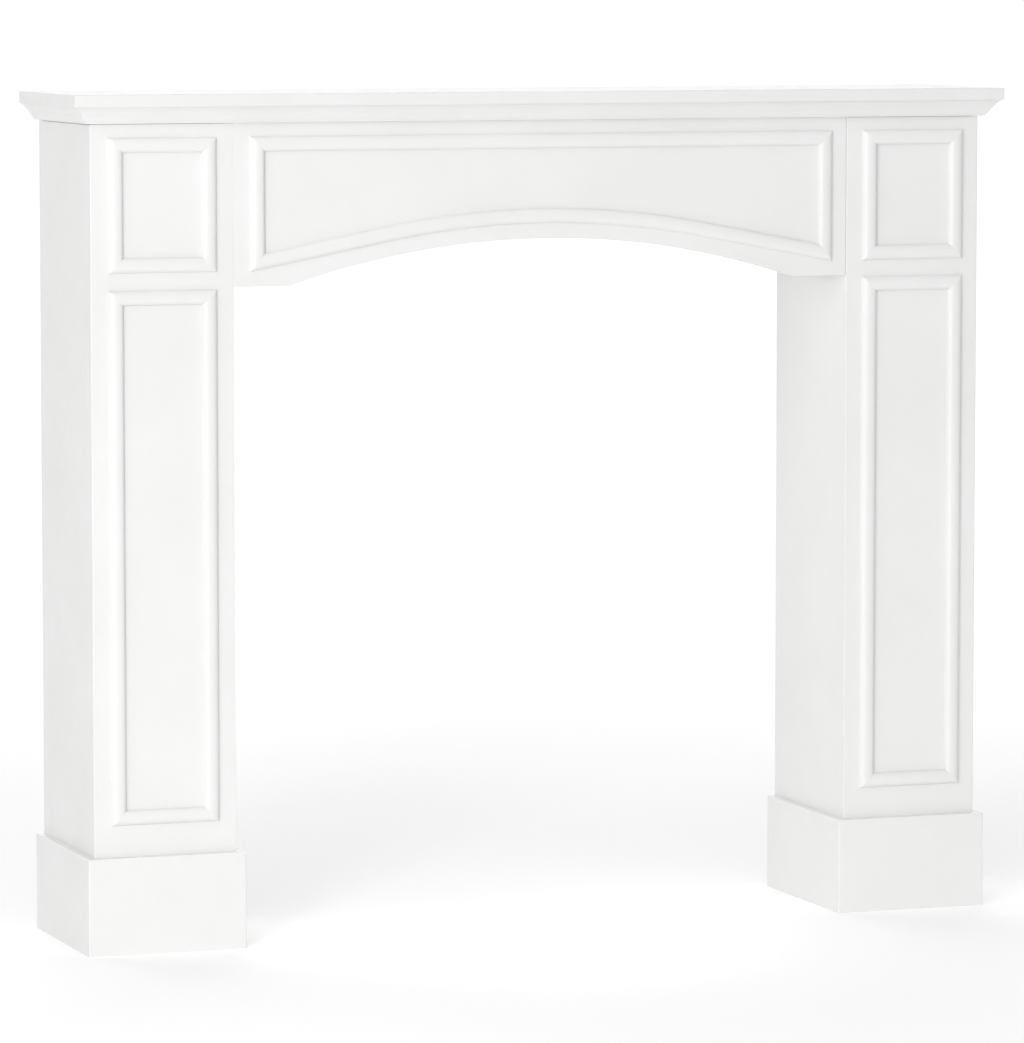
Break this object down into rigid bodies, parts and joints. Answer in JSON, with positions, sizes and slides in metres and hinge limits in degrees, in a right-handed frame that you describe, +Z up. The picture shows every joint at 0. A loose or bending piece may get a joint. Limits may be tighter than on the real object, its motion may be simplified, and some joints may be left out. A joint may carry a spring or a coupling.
{
  "type": "fireplace mantelpiece",
  "caption": "Free-standing fireplace surround of painted boards: panelled legs on plinths, an arched frieze with a panel that follows it, and a moulded cornice under a flat shelf.",
  "frame": {"origin": "on the floor, in the middle of the whole surround's width and depth", "axes": "+Z up, the front faces -Y, +X runs to the right as seen from the front"},
  "size_m": [1.2, 0.25, 1.03],
  "materials": {
    "painted_board": "satin white paint on smooth fibreboard",
    "painted_moulding": "satin white paint on milled moulding"
  },
  "bodies": {
    "root": {"mantel_shelf": "painted_board", "cornice_front": "painted_moulding", "cornice_left": "painted_moulding", "cornice_right": "painted_moulding", "frieze_board": "painted_board", "frieze_moulding_bottom": "painted_moulding", "frieze_moulding_right": "painted_moulding", "frieze_moulding_top": "painted_moulding", "frieze_moulding_left": "painted_moulding", "left_leg_front": "painted_board", "left_leg_outer_side": "painted_board", "left_leg_inner_side": "painted_board", "left_plinth_front": "painted_board", "left_plinth_outer_side": "painted_board", "left_plinth_inner_side": "painted_board", "left_leg_upper_moulding_bottom": "painted_moulding", "left_leg_upper_moulding_right": "painted_moulding", "left_leg_upper_moulding_top": "painted_moulding", "left_leg_upper_moulding_left": "painted_moulding", "left_leg_lower_moulding_bottom": "painted_moulding", "left_leg_lower_moulding_right": "painted_moulding", "left_leg_lower_moulding_top": "painted_moulding", "left_leg_lower_moulding_left": "painted_moulding", "right_leg_front": "painted_board", "right_leg_outer_side": "painted_board", "right_leg_inner_side": "painted_board", "right_plinth_front": "painted_board", "right_plinth_outer_side": "painted_board", "right_plinth_inner_side": "painted_board", "right_leg_upper_moulding_bottom": "painted_moulding", "right_leg_upper_moulding_right": "painted_moulding", "right_leg_upper_moulding_top": "painted_moulding", "right_leg_upper_moulding_left": "painted_moulding", "right_leg_lower_moulding_bottom": "painted_moulding", "right_leg_lower_moulding_right": "painted_moulding", "right_leg_lower_moulding_top": "painted_moulding", "right_leg_lower_moulding_left": "painted_moulding"}
  },
  "joints": []
}
